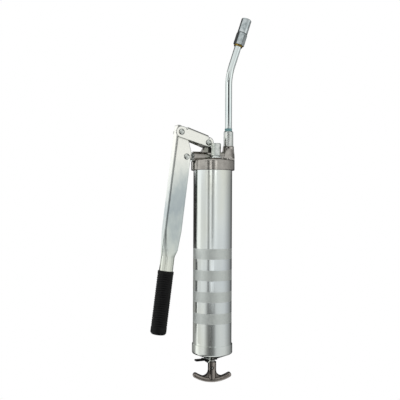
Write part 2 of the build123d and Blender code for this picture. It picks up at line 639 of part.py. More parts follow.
def lever_mouth():
    """Cutter for the channel's open front; it ends round, where the flanges roll together."""
    half = LEVER_HALF - LEVER_SHEET
    round_z = -CHANNEL_LENGTH + half
    slot = Pos(0, round_z) * Circle(half)
    slot += Pos(0, round_z) * Rectangle(2 * half, CHANNEL_LENGTH + 20, align=(Align.CENTER, Align.MIN))
    front = Plane(origin=(LEVER_DEPTH / 2, 0, 0), x_dir=(0, 1, 0), z_dir=(1, 0, 0))
    return extrude(front * slot, LEVER_DEPTH)


def pump_lever():
    """Pressed channel lever whose flanges roll together into the round handle tube."""
    shell = lever_form(0) & side_plate(lever_outline(), -LEVER_WIDTH, LEVER_WIDTH)
    lever = LEVER_FRAME * (shell - lever_form(LEVER_SHEET) - lever_mouth())
    return lever - pin_hole(LEVER_PIN, PIN_D / 2 + RUNNING_FIT) - pin_hole(PLUNGER_PIN, PIN_D / 2)


def lever_grip():
    """Rubber sleeve with close ribs and a closed round end."""
    low = -LEVER_LENGTH - GRIP_END_WALL
    high = low + GRIP_LENGTH
    outer = GRIP_OD / 2
    blank = bar(outer, low, high)
    blank = fillet(blank.edges().group_by(Axis.Z)[0], 4.5)
    blank = fillet(blank.edges().group_by(Axis.Z)[-1], 1.0)
    rib_count = int((GRIP_LENGTH - 14) / GRIP_RIB_PITCH)
    for index in range(rib_count):
        groove_z = high - 6 - index * GRIP_RIB_PITCH
        half_groove = GRIP_RIB_PITCH * 0.32
        groove = make_face(Polyline(
            (outer + 0.01, groove_z - half_groove),
            (outer - GRIP_RIB_DEPTH, groove_z),
            (outer + 0.01, groove_z + half_groove),
            close=True,
        ))
        blank -= revolve(Plane.XZ * groove, Axis.Z)
    sleeve = blank - bar(TUBE_R, -LEVER_LENGTH, high + 1)
    return LEVER_FRAME * Pos(TUBE_X, 0, 0) * sleeve


# ---------------------------------------------------------------- barrel, cap and latch
def barrel_tube():
    return ring(BARREL_R, BARREL_BORE_R, BARREL_LOW, BARREL_IN_HEAD)


def cap_cone_z(radius):
    """Height of the cap's outer cone at a radius."""
    return CAP_LOW_Z + CAP_CONE_DROP * (radius - CAP_NECK_R) / (CAP_R - CAP_NECK_R)


def cap_floor_z(radius):
    """Height of the cap's inner cone at a radius."""
    return cap_cone_z(radius) + CAP_SHEET


def end_cap():
    """Pressed steel cap: skirt over the barrel end, shallow cone, hole for the rod guide."""
    sheet = CAP_SHEET
    outline = Polyline(
        (BARREL_R, CAP_TOP_Z),
        (CAP_R, CAP_TOP_Z),
        (CAP_R, CAP_CORNER_Z),
        (CAP_NECK_R, CAP_LOW_Z),
        (ROD_D / 2 + 1.2, CAP_LOW_Z),
        (ROD_D / 2 + 1.2, CAP_LOW_Z + sheet),
        (CAP_NECK_R, CAP_LOW_Z + sheet),
        (BARREL_BORE_R, cap_floor_z(BARREL_BORE_R)),
        (BARREL_BORE_R, BARREL_LOW),
        (BARREL_R, BARREL_LOW),
        close=True,
    )
    profile = make_face(outline)
    corner = profile.vertices().sort_by_distance((CAP_R, CAP_CORNER_Z))[0]
    profile = fillet(corner, 2.5)
    return revolve(Plane.XZ * profile, Axis.Z)


def rod_guide():
    """Flanged bush that carries the follower rod in the cap."""
    hole = ROD_D / 2 + RUNNING_FIT
    base = CAP_LOW_Z + CAP_SHEET
    bush = ring(ROD_D / 2 + 1.2, hole, CAP_LOW_Z, base) + ring(CAP_NECK_R - 0.5, hole, base, base + 2.0)
    return bush + ring(ROD_D / 2 + 2.0, hole, base, base + GUIDE_LENGTH)


def latch_bracket():
    """Bent stirrup under the cap: two curved arms joined by the bar that the latch rocks on."""
    outer_half = LATCH_WIDTH / 2 + SLIDING_GAP + LATCH_BRACKET_SHEET
    start = (FULCRUM_X - 4.5, cap_cone_z(4.5 - FULCRUM_X) + 0.6)
    crest = (FULCRUM_X + 3.2, LATCH_Z - 0.5)
    foot = (FULCRUM_X - 0.2, LATCH_Z - 3.3)
    spine = Spline(start, crest, foot, tangents=((1, -0.35), (-1, -0.45)))
    stirrup = side_plate(trace(spine, LATCH_BRACKET_ARM), -outer_half, outer_half)
    window_low = LATCH_Z - LATCH_PLATE / 2 - 2 * SLIDING_GAP
    window = Box(24, LATCH_WIDTH + 2 * SLIDING_GAP, 13, align=FROM_BELOW)
    return stirrup - Pos(FULCRUM_X, 0, window_low) * window - cap_solid()


def cap_solid():
    """The space of the cap, used to trim what is welded to it."""
    profile = make_face(Polyline(
        (0, CAP_TOP_Z),
        (CAP_R, CAP_TOP_Z),
        (CAP_R, CAP_CORNER_Z),
        (CAP_NECK_R, CAP_LOW_Z),
        (0, CAP_LOW_Z),
        close=True,
    ))
    return revolve(Plane.XZ * profile, Axis.Z)


def latch_plate():
    """Spring-steel plate with a hole round the rod; its outer end is the thumb tab."""
    inner_x = LATCH_OUTER_X + LATCH_LENGTH
    plate = Pos((LATCH_OUTER_X + inner_x) / 2, 0, 0) * Box(LATCH_LENGTH, LATCH_WIDTH, LATCH_PLATE)
    plate = fillet(plate.edges().filter_by(Axis.Z), 2.0)
    plate -= bar(ROD_D / 2 + 0.45, -5, 5)
    tilt = Pos(FULCRUM_X, 0, LATCH_Z) * Rot(0, -LATCH_TILT, 0) * Pos(-FULCRUM_X, 0, 0)
    return tilt * plate


def latch_spring():
    """Small coil between the cap and the outer half of the latch plate."""
    x = -14.5
    mean_r, wire = 2.2, 0.8
    low = LATCH_Z + LATCH_PLATE / 2 + 0.05
    high = cap_cone_z(-x - mean_r - wire / 2) - 0.1
    return Pos(x, 0, 0) * coil(mean_r, wire, low, high, 2)


# ---------------------------------------------------------------- follower, rod and handle
CUP_LOW_Z = FOLLOWER_TOP_Z - FOLLOWER_CUP_HEIGHT
CUP_FLOOR = 2.5
CUP_R = BARREL_BORE_R - FOLLOWER_CUP_GAP
DISC = 1.5
ROD_THREAD_R = 3.2
PLATE_LOW_Z = CUP_LOW_Z - DISC
NUT_HEIGHT = 4.5


def follower_cup():
    """Rubber follower: dished floor and a thin lip that wipes the barrel."""
    cup = bar(CUP_R, CUP_LOW_Z, FOLLOWER_TOP_Z)
    cup = fillet(cup.edges().group_by(Axis.Z)[0], 2.0)
    cup -= cone(CUP_R - 4.5, CUP_R - 1.2, CUP_LOW_Z + CUP_FLOOR, FOLLOWER_TOP_Z + 0.01)
    return cup - bar(ROD_THREAD_R, CUP_LOW_Z - 1, FOLLOWER_TOP_Z)


def follower_plates():
    """The two steel discs that clamp the cup."""
    lower = ring(CUP_R - 2.5, ROD_THREAD_R, PLATE_LOW_Z, CUP_LOW_Z)
    floor_z = CUP_LOW_Z + CUP_FLOOR
    return Compound(children=[lower, ring(CUP_R - 7, ROD_THREAD_R, floor_z, floor_z + DISC)])


def follower_nut():
    low = CUP_LOW_Z + CUP_FLOOR + DISC
    return hexagon(13.0, low, low + NUT_HEIGHT) - bar(ROD_THREAD_R, low - 1, low + 10)


def follower_rod():
    """Plain rod with a reduced thread for the follower at its top."""
    thread_top = CUP_LOW_Z + CUP_FLOOR + DISC + NUT_HEIGHT + 1.0
    rod = bar(ROD_D / 2, HANDLE_TOP_Z - ROD_IN_HANDLE, PLATE_LOW_Z)
    rod += bar(ROD_THREAD_R, PLATE_LOW_Z, thread_top)
    rod = chamfer(rod.edges().group_by(Axis.Z)[-1], 0.6)
    return rod - handle_pin(2 * HANDLE_NECK_R)


def follower_spring():
    """Long coil between the cap and the follower."""
    rest_r = FOLLOWER_SPRING_R + FOLLOWER_WIRE / 2
    low = cap_floor_z(rest_r) + 0.05
    return coil(FOLLOWER_SPRING_R, FOLLOWER_WIRE, low, PLATE_LOW_Z, FOLLOWER_SPRING_TURNS)


def handle_pin(reach=HANDLE_NECK_R - 0.25):
    """The cross pin of the T-handle, square to its bar; a longer one drills its hole."""
    pin = along_y(bar(HANDLE_PIN_R, -reach, reach))
    return Rot(0, 0, HANDLE_TURN) * Pos(0, 0, HANDLE_TOP_Z - 9) * pin


def handle_bar():
    """Crescent bar: a rounded section carried round an arc, with round ends."""
    thick, wide = HANDLE_THICKNESS / 2, HANDLE_WIDTH / 2
    hub = Axis((0, 0, HANDLE_LOW_Z + HANDLE_ARC_R), (0, 1, 0))
    half_angle = degrees(asin((HANDLE_SPAN / 2 - thick) / (HANDLE_ARC_R - thick)))
    lowest = Plane(origin=(0, 0, HANDLE_LOW_Z + thick), x_dir=(0, 1, 0), z_dir=(1, 0, 0))
    section = lowest * RectangleRounded(2 * wide, 2 * thick, HANDLE_EDGE_R)
    half_section = section & (lowest * Pos(0, thick) * Rectangle(4 * wide, 2 * thick))
    end = revolve(half_section, Axis(lowest.origin, (0, 1, 0)))
    crescent = revolve(section.rotate(hub, -half_angle), hub, 2 * half_angle)
    return crescent + end.rotate(hub, half_angle) + end.rotate(hub, -half_angle)


def handle_gusset():
    """Flared web between the neck and the bar, drawn as (x, z)."""
    top_x = HANDLE_NECK_R - 0.3
    foot_x = top_x + HANDLE_FLARE
    inner_r = HANDLE_ARC_R - HANDLE_THICKNESS
    foot_z = HANDLE_LOW_Z + HANDLE_ARC_R - sqrt(inner_r ** 2 - foot_x ** 2) - 0.5
    top_z = foot_z + HANDLE_FLARE
    bow_x = foot_x - HANDLE_FLARE * cos(radians(45))
    bow_z = top_z - HANDLE_FLARE * sin(radians(45))
    right = ThreePointArc((foot_x, foot_z), (bow_x, bow_z), (top_x, top_z))
    left = ThreePointArc((-top_x, top_z), (-bow_x, bow_z), (-foot_x, foot_z))
    top = Line((top_x, top_z), (-top_x, top_z))
    low_z = HANDLE_LOW_Z + HANDLE_THICKNESS / 2
    foot = Polyline((-foot_x, foot_z), (0, low_z), (foot_x, foot_z))
    return make_face(right + top + left + foot)


def t_handle():
    """Cast pull handle: round neck that flares into the crescent bar."""
    neck = bar(HANDLE_NECK_R, HANDLE_LOW_Z + HANDLE_THICKNESS - 3, HANDLE_TOP_Z)
    neck = chamfer(neck.edges().group_by(Axis.Z)[-1], 0.6)
    web = side_plate(handle_gusset(), -HANDLE_WEB / 2, HANDLE_WEB / 2)
    handle = Rot(0, 0, HANDLE_TURN) * (handle_bar() + neck + web)
    handle -= bar(ROD_D / 2, HANDLE_TOP_Z - ROD_IN_HANDLE, HANDLE_TOP_Z + 1)
    return handle - handle_pin(2 * HANDLE_NECK_R)


# ---------------------------------------------------------------- all pieces
def pieces():
    return {
        "head_casting": head_casting(),
        "head_gasket": head_gasket(),
        "plunger_packing": plunger_packing(),
        "packing_nut": packing_nut(),
        "loader_body": loader_body(),
        "loader_washer": loader_washer(),
        "loader_retainer": loader_retainer(),
        "loader_ball": loader_ball(),
        "loader_spring": loader_spring(),
        "outlet_adapter": outlet_adapter(),
        "check_ball": check_ball(),
        "check_spring": check_spring(),
        "spout": spout(),
        "sealant_band": sealant_band(),
        "coupler_ring": coupler_ring(),
        "coupler_body": coupler_body(),
        "coupler_nose": coupler_nose(),
        "coupler_jaws": coupler_jaws(),
        "coupler_seal": coupler_seal(),
        "coupler_spring": coupler_spring(),
        "plunger": plunger(),
        "link_channel": link_channel(),
        "link_pin": pivot_pin(LINK_PIN, -LINK_OUTER - SLIDING_GAP, LINK_OUTER),
        "link_pin_clip": pin_clip(LINK_PIN, LINK_OUTER),
        "lever_pin": pivot_pin(LEVER_PIN, -LINK_OUTER, LINK_OUTER),
        "lever_pin_clip": pin_clip(LEVER_PIN, LINK_OUTER),
        "pump_lever": pump_lever(),
        "plunger_pin": pivot_pin(PLUNGER_PIN, -LEVER_HALF, LEVER_HALF),
        "plunger_pin_clip": pin_clip(PLUNGER_PIN, LEVER_HALF),
        "lever_grip": lever_grip(),
        "barrel_tube": barrel_tube(),
        "end_cap": end_cap(),
        "rod_guide": rod_guide(),
        "latch_bracket": latch_bracket(),
        "latch_plate": latch_plate(),
        "latch_spring": latch_spring(),
        "follower_cup": follower_cup(),
        "follower_plates": follower_plates(),
        "follower_nut": follower_nut(),
        "follower_rod": follower_rod(),
        "follower_spring": follower_spring(),
        "t_handle": t_handle(),
        "handle_pin": handle_pin(),
    }


def main():
    os.makedirs("parts", exist_ok=True)
    for name, shape in pieces().items():
        export_step(shape, f"parts/{name}.step")


if __name__ == "__main__":
    main()
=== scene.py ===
import json
from math import cos, radians, sin, tau

import bmesh
import bpy
from mathutils import Matrix, Quaternion, Vector

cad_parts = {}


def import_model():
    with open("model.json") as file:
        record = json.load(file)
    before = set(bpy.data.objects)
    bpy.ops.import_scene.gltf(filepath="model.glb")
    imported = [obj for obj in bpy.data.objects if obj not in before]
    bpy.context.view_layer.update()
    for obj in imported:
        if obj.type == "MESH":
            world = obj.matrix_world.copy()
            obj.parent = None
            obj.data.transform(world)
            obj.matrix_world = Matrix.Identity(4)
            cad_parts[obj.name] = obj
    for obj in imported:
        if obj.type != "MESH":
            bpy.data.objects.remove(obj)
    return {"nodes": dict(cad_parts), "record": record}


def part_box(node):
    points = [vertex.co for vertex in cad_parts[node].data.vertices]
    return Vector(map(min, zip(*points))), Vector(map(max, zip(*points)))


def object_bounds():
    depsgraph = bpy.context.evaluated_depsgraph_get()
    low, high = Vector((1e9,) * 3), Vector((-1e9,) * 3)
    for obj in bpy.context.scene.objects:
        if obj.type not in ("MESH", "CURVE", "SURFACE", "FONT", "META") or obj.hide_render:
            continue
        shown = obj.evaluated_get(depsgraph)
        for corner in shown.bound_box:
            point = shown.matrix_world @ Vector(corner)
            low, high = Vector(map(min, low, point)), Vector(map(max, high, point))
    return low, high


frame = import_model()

# Looks of the lever grease gun: plated steel, cast metal, rubber and a plain white studio.
# Metres, in the frame's own axes: +Z up the barrel, the lever towards -X, the loader fitting
# towards -Y.
CAD_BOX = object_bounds()
MM = 0.001

# ------------------------------------------------------------------ driving values
BARREL_R = float(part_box("barrel_tube")[1][0])
CAP_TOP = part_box("end_cap")[1][2]
GRIP_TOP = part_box("lever_grip")[1][2]
LEVER_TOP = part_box("pump_lever")[1][2]

BAND_COUNT = 4                      # matte knurled bands round the barrel
BAND_HEIGHT = 15.3 * MM
BAND_PITCH = 31.2 * MM
BAND_FADE = 0.25 * MM               # each way from a band's edge
LOWEST_BAND = CAP_TOP + 39.6 * MM   # its middle
KNURL_PITCH = 1.2 * MM
THREAD_PITCH = 1.5 * MM             # of the end that screws into the head
THREAD_LOW = 0.4 * MM

PAINTED_REFLECTION_LOW = GRIP_TOP              # the stretch of lever painted darker blue grey, a painted reflection
PAINTED_REFLECTION_HIGH = LEVER_TOP - 18 * MM
CHANNEL_ROLLED = GRIP_TOP + 25 * MM  # between these the lever's channel rolls into its tube
CHANNEL_OPEN = GRIP_TOP + 50 * MM
LEVER_BACK_HIGH = (-57, 66)         # x and z, mm, of the lever's straight back
LEVER_BACK_LOW = (-80, -138)

CAMERA_AZIMUTH = radians(-20)       # 0 looks along +Y, negative from the lever's side
CAMERA_DISTANCE = 1.05
CAMERA_LENS = 63.97                 # mm, on a 36 mm sensor
CAMERA_ROLL = radians(0.24)
AIM_RIGHT = -2.77 * MM              # of the box's middle
AIM_UP = -2.39 * MM

FLOOR_R = 0.21
FLOOR_DROP = 0.36                   # under the handle, which comes down 0.265 m at most
FLOOR_GLOW = 1.05
FLOOR_GLOW_SHARE = 0.84             # the rest is lit by the lamps, which keeps the shadow
WORLD_FILL = 0.55                   # of the world's light on matt surfaces
LAMP_TARGET = Vector((0, 0, -0.04))
FLAG_DROP = 0.2 * MM                # of the dark flags, under the handle
FLAG_LEVEL = 0.04
FILL_X = -40 * MM                   # the cards between lever and barrel
FILL_SPLIT = -0.12                  # where the bright one stops and the softer one starts, m

FIRST_COLOUR, SECOND_COLOUR = 6, 7  # a Mix node's colour sockets
COMMON_NOISE = {"From Min": 0.3, "From Max": 0.7}   # the range most noise values lie in
EDGE_STARTS, EDGE_FULL = 0.9995, 0.972              # cosines of the turn of a rounded normal


# ------------------------------------------------------------------ small helpers
def linear(colour):
    """An sRGB hex colour as linear RGBA."""
    channels = [int(colour[i:i + 2], 16) / 255 for i in (1, 3, 5)]
    return [c / 12.92 if c <= 0.04045 else ((c + 0.055) / 1.055) ** 2.4
            for c in channels] + [1.0]


def per_mm(size):
    """The texture scale at which one feature is this many millimetres."""
    return 1 / (size * MM)


def link(tree, source, socket):
    """Links a socket, or a node's first output in use, to a socket."""
    if isinstance(source, bpy.types.Node):
        source = next(output for output in source.outputs if output.enabled)
    tree.links.new(source, socket)


def add(tree, kind, inputs=None, stops=None, **settings):
    """Adds a node with its settings, its ramp stops, and its sockets' values or links."""
    node = tree.nodes.new("ShaderNode" + kind)
    for name, value in settings.items():
        setattr(node, name, value)
    for index, (place, colour) in enumerate(stops or []):
        ramp = node.color_ramp.elements
        stop = ramp[index] if index < 2 else ramp.new(place)
        stop.position = place
        stop.color = linear(colour) if isinstance(colour, str) else [colour, colour, colour, 1]
    for socket, value in (inputs or {}).items():
        if isinstance(value, (bpy.types.Node, bpy.types.NodeSocket)):
            link(tree, value, node.inputs[socket])
        else:
            node.inputs[socket].default_value = value
    return node


def start(name, metallic=0.0, roughness=0.5):
    """A new material: its tree, the piece's own coordinates, and its shader."""
    material = bpy.data.materials.new(name)
    material.use_nodes = True
    tree = material.node_tree
    tree.nodes.clear()
    where = add(tree, "TexCoord").outputs["Object"]
    shader = add(tree, "BsdfPrincipled", {"Metallic": metallic, "Roughness": roughness})
    add(tree, "OutputMaterial", {"Surface": shader})
    return material, tree, where, shader


def grain(tree, where, size, stretch=(1, 1, 1), detail=3.0, roughness=0.55, shift=(0, 0, 0)):
    """Noise with features of one size in millimetres, stretched along an axis."""
    placed = add(tree, "Mapping", {"Vector": where, "Scale": stretch, "Location": shift})
    return add(tree, "TexNoise", {
        "Vector": placed, "Scale": per_mm(size), "Detail": detail, "Roughness": roughness})


def put(tree, shader, colour, roughness, height=None, relief=0.1, strength=1.0):
    """Links colour, roughness and relief, a depth in millimetres, to the shader.

    Roughness is a node, or a noise with the roughness at its low and at its high end.
    """
    if isinstance(roughness, tuple):
        noise, low, high = roughness
        roughness = add(tree, "MapRange", {
            "Value": noise, **COMMON_NOISE, "To Min": low, "To Max": high})
    link(tree, colour, shader.inputs["Base Color"])
    link(tree, roughness, shader.inputs["Roughness"])
    if height is not None:
        bump = add(tree, "Bump", {
            "Height": height, "Distance": relief * MM, "Strength": strength})
        link(tree, bump, shader.inputs["Normal"])


def painted_edge_shade(tree, colour, reach, dark, more_painted_shade=0.0):
    """Painted shade: a colour that darkens within this many millimetres of edges and corners, and
    where told.
    """
    rounded = add(tree, "Bevel", {"Radius": reach * MM}, samples=8)
    flat = add(tree, "NewGeometry").outputs["Normal"]
    same = add(tree, "VectorMath", {0: rounded, 1: flat}, operation="DOT_PRODUCT")
    edge_shade = add(tree, "MapRange", {"Value": same, "From Min": EDGE_STARTS, "From Max": EDGE_FULL})
    share = add(tree, "Math", {0: edge_shade, 1: more_painted_shade}, operation="MAXIMUM")
    return add(tree, "Mix", {0: share, FIRST_COLOUR: colour, SECOND_COLOUR: linear(dark)},
               data_type="RGBA")


def corner_shade_mask(tree):
    """1 where sheet turns from its sides, which face along Y, to its back; 0 on both flats."""
    normal = add(tree, "NewGeometry").outputs["Normal"]
    side = add(tree, "SeparateXYZ", {0: normal}).outputs["Y"]
    square = add(tree, "Math", {0: side, 1: side}, operation="MULTIPLY")
    rest = add(tree, "Math", {0: 1.0, 1: square}, operation="SUBTRACT")
    corner = add(tree, "Math", {0: square, 1: rest}, operation="MULTIPLY")
    return add(tree, "Math", {0: corner, 1: 4.0}, operation="MULTIPLY")


def seen(tree):
    """1 for what is seen straight, in a mirror or through glass; 0 for what lights the object."""
    path = add(tree, "LightPath").outputs
    plain = add(tree, "Math", {0: path["Is Camera Ray"], 1: path["Is Glossy Ray"]},
                operation="MAXIMUM")
    return add(tree, "Math", {0: plain, 1: path["Is Transmission Ray"]}, operation="MAXIMUM")


# ------------------------------------------------------------------ materials
# Drawing, grinding and turning marks are finer on the real metal, and are made as coarse here
# as they need to be to show.
def zinc_plated_tube():
    """Bright zinc on drawn steel tube: a soft mirror, faintly blue and straw, with matte bands."""
    material, tree, where, shader = start("bright_zinc_on_drawn_tube", metallic=1.0)
    x, y, z = add(tree, "SeparateXYZ", {0: where}).outputs
    # the bands: the nearest band's number, then the distance from its middle
    above = add(tree, "Math", {0: z, 1: LOWEST_BAND}, operation="SUBTRACT")
    along = add(tree, "Math", {0: above, 1: BAND_PITCH}, operation="DIVIDE")
    number = add(tree, "Math", {0: along}, operation="ROUND")
    nearest = add(tree, "Clamp", {"Value": number, "Min": 0, "Max": BAND_COUNT - 1})
    off = add(tree, "Math", {0: along, 1: nearest}, operation="SUBTRACT")
    off = add(tree, "Math", {0: off}, operation="ABSOLUTE")
    off = add(tree, "Math", {0: off, 1: BAND_PITCH}, operation="MULTIPLY")
    band = add(tree, "MapRange", {
        "Value": off, "From Min": BAND_HEIGHT / 2 + BAND_FADE,
        "From Max": BAND_HEIGHT / 2 - BAND_FADE})
    # a diamond knurl: ridges that climb one way round, times ridges that climb the other way
    turn = add(tree, "Math", {0: x, 1: y}, operation="ARCTAN2")
    round_way = add(tree, "Math", {0: turn, 1: BARREL_R}, operation="MULTIPLY")
    knurl = band
    for way in ("ADD", "SUBTRACT"):
        slope = add(tree, "Math", {0: round_way, 1: z}, operation=way)
        slope = add(tree, "Math", {0: slope, 1: tau / KNURL_PITCH}, operation="MULTIPLY")
        ridge = add(tree, "Math", {0: slope}, operation="SINE")
        knurl = add(tree, "Math", {0: knurl, 1: ridge}, operation="MULTIPLY")
    # the thread rolled on the end that screws into the head, twice as deep as the knurl
    threaded = add(tree, "Math", {0: z, 1: THREAD_LOW}, operation="GREATER_THAN")
    thread = add(tree, "Math", {0: z, 1: tau / THREAD_PITCH}, operation="MULTIPLY")
    thread = add(tree, "Math", {0: thread}, operation="SINE")
    thread = add(tree, "Math", {0: thread, 1: threaded}, operation="MULTIPLY")
    thread = add(tree, "Math", {0: thread, 1: 2.0}, operation="MULTIPLY")
    plating = add(tree, "ValToRGB", {0: grain(tree, where, 55, stretch=(1, 1, 0.35), detail=2)},
                  stops=[(0.30, "#D3DBDE"), (0.52, "#DDE3E0"), (0.72, "#DFE2D6")])
    matte = add(tree, "ValToRGB", {0: grain(tree, where, 2.2)},
                stops=[(0.30, "#C6CDC9"), (0.70, "#D2D7D3")])
    colour = add(tree, "Mix", {0: band, FIRST_COLOUR: plating, SECOND_COLOUR: matte},
                 data_type="RGBA")
    drawn = grain(tree, where, 1.1, stretch=(1, 1, 0.03), detail=4)
    smooth = add(tree, "MapRange", {
        "Value": drawn, **COMMON_NOISE, "To Min": 0.10, "To Max": 0.19})
    roughness = add(tree, "Math", {0: band, 1: 0.30, 2: smooth}, operation="MULTIPLY_ADD")
    height = add(tree, "Math", {0: drawn, 1: 0.06, 2: knurl}, operation="MULTIPLY_ADD")
    height = add(tree, "Math", {0: height, 1: thread}, operation="ADD")
    put(tree, shader, colour, roughness, height, relief=0.05, strength=0.5)
    return material


def zinc_plated_pressing():
    """Bright zinc on pressed sheet: pale cream near its ends and darker blue grey between, a
    painted reflection, with random clouds.
    """
    material, tree, where, shader = start("bright_zinc_on_pressed_sheet", metallic=0.85)
    z = add(tree, "SeparateXYZ", {0: where}).outputs["Z"]
    cloud = grain(tree, where, 40, stretch=(1.5, 1, 0.7), detail=3, shift=(0.013, 0, 0.021))
    # painted reflection: darker blue grey along the lever's middle and pale cream towards its ends,
    # moved about by the cloud
    along = add(tree, "MapRange", {
        "Value": z, "From Min": PAINTED_REFLECTION_LOW, "From Max": PAINTED_REFLECTION_HIGH})
    drift = add(tree, "Math", {0: cloud, 1: 0.5}, operation="SUBTRACT")
    shade = add(tree, "Math", {0: drift, 1: 0.7, 2: along}, operation="MULTIPLY_ADD")
    plating = add(tree, "ValToRGB", {0: shade}, stops=[
        (0.0, "#E2E6DA"), (0.22, "#CFD7D1"), (0.42, "#AEB9BB"), (0.55, "#B9C3C3"),
        (0.74, "#E4E8E1"), (0.92, "#F3F4EC")])
    lines = grain(tree, where, 0.9, stretch=(1, 1, 0.04), detail=4)
    wear = add(tree, "Math", {0: cloud, 1: lines}, operation="ADD")
    wear = add(tree, "Math", {0: wear, 1: 0.5}, operation="MULTIPLY")
    # painted shade in the corners of the channel, fading where it has rolled into the tube; the
    # edges get painted shade as well
    corner_shade_strength = add(tree, "MapRange", {
        "Value": z, "From Min": CHANNEL_ROLLED, "From Max": CHANNEL_OPEN, "To Min": 0.15,
        "To Max": 0.8})
    corner = add(tree, "Math", {0: corner_shade_mask(tree), 1: corner_shade_strength}, operation="MULTIPLY")
    colour = painted_edge_shade(tree, plating, 1.3, "#2E3538", more_painted_shade=corner)
    put(tree, shader, colour, (wear, 0.14, 0.24), lines, relief=0.01, strength=0.3)
    return material


def zinc_plated_turning(name, dark, middle, light):
    """Zinc on turned bar: faintly clouded, with rings from the tool and painted shade on its edges.
    """
    material, tree, where, shader = start(name, metallic=1.0)
    cloud = grain(tree, where, 5, detail=4)
    plating = add(tree, "ValToRGB", {0: cloud}, stops=[(0.32, dark), (0.50, middle), (0.68, light)])
    rings = grain(tree, where, 0.35, stretch=(0.05, 0.05, 1), detail=3)
    colour = painted_edge_shade(tree, plating, 0.8, "#2E3433")
    put(tree, shader, colour, (cloud, 0.22, 0.12), rings, relief=0.006, strength=0.3)
    return material


def zinc_plated_pipe():
    """Bright zinc on drawn pipe: a narrow mirror with fine drawing lines along it."""
    material, tree, where, shader = start("bright_zinc_on_pipe", metallic=1.0)
    plating = add(tree, "ValToRGB", {0: grain(tree, where, 22, stretch=(1, 1, 0.4), detail=2)},
                  stops=[(0.30, "#CBD6D6"), (0.70, "#DCE3E0")])
    lines = grain(tree, where, 0.6, stretch=(1, 1, 0.04), detail=3)
    put(tree, shader, plating, (lines, 0.06, 0.12), lines, relief=0.004, strength=0.3)
    return material


def plated_casting(name, dark, middle, light, smooth, edge_shade):
    """Plated casting: warm grey, softly grained from the mould, with painted shade on its edges."""
    material, tree, where, shader = start(name, metallic=1.0)
    cloud = grain(tree, where, 7, detail=4, roughness=0.6)
    skin = grain(tree, where, 0.9, detail=4, roughness=0.6)
    cloud_part = add(tree, "Math", {0: cloud, 1: 0.7}, operation="MULTIPLY")
    both = add(tree, "Math", {0: skin, 1: 0.3, 2: cloud_part}, operation="MULTIPLY_ADD")
    metal = add(tree, "ValToRGB", {0: both}, stops=[(0.34, dark), (0.52, middle), (0.68, light)])
    colour = painted_edge_shade(tree, metal, edge_shade, "#1E1C1B")
    put(tree, shader, colour, (skin, smooth, smooth + 0.10), skin, relief=0.015, strength=0.4)
    return material


def ground_steel():
    """Bare ground steel with a film of oil: neutral, with fine grinding lines."""
    material, tree, where, shader = start("ground_steel", metallic=1.0)
    lines = grain(tree, where, 0.3, stretch=(1, 1, 0.08), detail=3)
    colour = add(tree, "ValToRGB", {0: grain(tree, where, 6)},
                 stops=[(0.30, "#9B9C99"), (0.70, "#B7B7B2")])
    put(tree, shader, colour, (lines, 0.16, 0.28), lines, relief=0.01, strength=0.4)
    return material


def plated_pins():
    """Pin heads and clips: plated, with darker oil in the turning marks, and painted shade round
    the rims.
    """
    material, tree, where, shader = start("plated_pin_steel", metallic=1.0)
    marks = grain(tree, where, 0.6, detail=4)
    metal = add(tree, "ValToRGB", {0: marks}, stops=[(0.34, "#B4BAB6"), (0.66, "#DDE1DB")])
    colour = painted_edge_shade(tree, metal, 1.2, "#101312")
    put(tree, shader, colour, (marks, 0.08, 0.18), marks, relief=0.02, strength=0.4)
    return material


def drawn_spring_wire():
    """Oil-tempered spring wire: dark grey with a soft sheen."""
    material, tree, where, shader = start("oil_tempered_wire", metallic=1.0)
    scale = grain(tree, where, 1.5, detail=4)
    colour = add(tree, "ValToRGB", {0: scale}, stops=[(0.30, "#3C3E3F"), (0.70, "#63655F")])
    put(tree, shader, colour, (scale, 0.28, 0.42), scale, relief=0.02, strength=0.4)
    return material


def black_oxide():
    """Blackened spring steel: near black, with grey where it has worn."""
    material, tree, where, shader = start("black_oxide_steel", metallic=0.9)
    wear = grain(tree, where, 2.0, detail=5)
    colour = add(tree, "ValToRGB", {0: wear},
                 stops=[(0.30, "#0C0D0D"), (0.62, "#191A1A"), (0.80, "#3A3B3A")])
    put(tree, shader, colour, (wear, 0.34, 0.48), wear, relief=0.02, strength=0.4)
    return material


def turned_brass():
    """Turned brass, painted dark brown for the shade of the hexagon."""
    material, tree, where, shader = start("turned_brass", metallic=1.0)
    tarnish = grain(tree, where, 2.5, detail=4)
    colour = add(tree, "ValToRGB", {0: tarnish},
                 stops=[(0.30, "#4A3C14"), (0.55, "#8A7028"), (0.75, "#B89C48")])
    put(tree, shader, colour, (tarnish, 0.36, 0.22))
    return material


def soft_copper():
    """Sealing washer: copper, dark brownish grey."""
    material, tree, where, shader = start("annealed_copper", metallic=1.0)
    tarnish = grain(tree, where, 3, detail=4)
    colour = add(tree, "ValToRGB", {0: tarnish}, stops=[(0.30, "#4A3E36"), (0.70, "#7A6A5C")])
    put(tree, shader, colour, (tarnish, 0.40, 0.28))
    return material


def dried_sealant():
    """Dried thread sealant: dull blue green, rubbed thin over the ridges it lies on."""
    material, tree, where, shader = start("dried_thread_sealant")
    lumps = grain(tree, where, 0.9, detail=5, roughness=0.65)
    colour = add(tree, "ValToRGB", {0: lumps},
                 stops=[(0.30, "#466A6E"), (0.52, "#5E8486"), (0.74, "#86A3A0")])
    put(tree, shader, colour, (lumps, 0.35, 0.6), lumps, relief=0.25, strength=0.9)
    return material


def moulded_grip():
    """Moulded black rubber: soft low gloss, greyer where hands rub the ribs, fine mould grain."""
    material, tree, where, shader = start("moulded_black_rubber")
    shader.inputs["Specular IOR Level"].default_value = 0.16
    rub = grain(tree, where, 9, detail=4)
    pebble = grain(tree, where, 0.35, detail=2)
    colour = add(tree, "ValToRGB", {0: rub},
                 stops=[(0.30, "#060607"), (0.60, "#090A0A"), (0.80, "#121313")])
    put(tree, shader, colour, (rub, 0.36, 0.5), pebble, relief=0.03, strength=0.5)
    return material


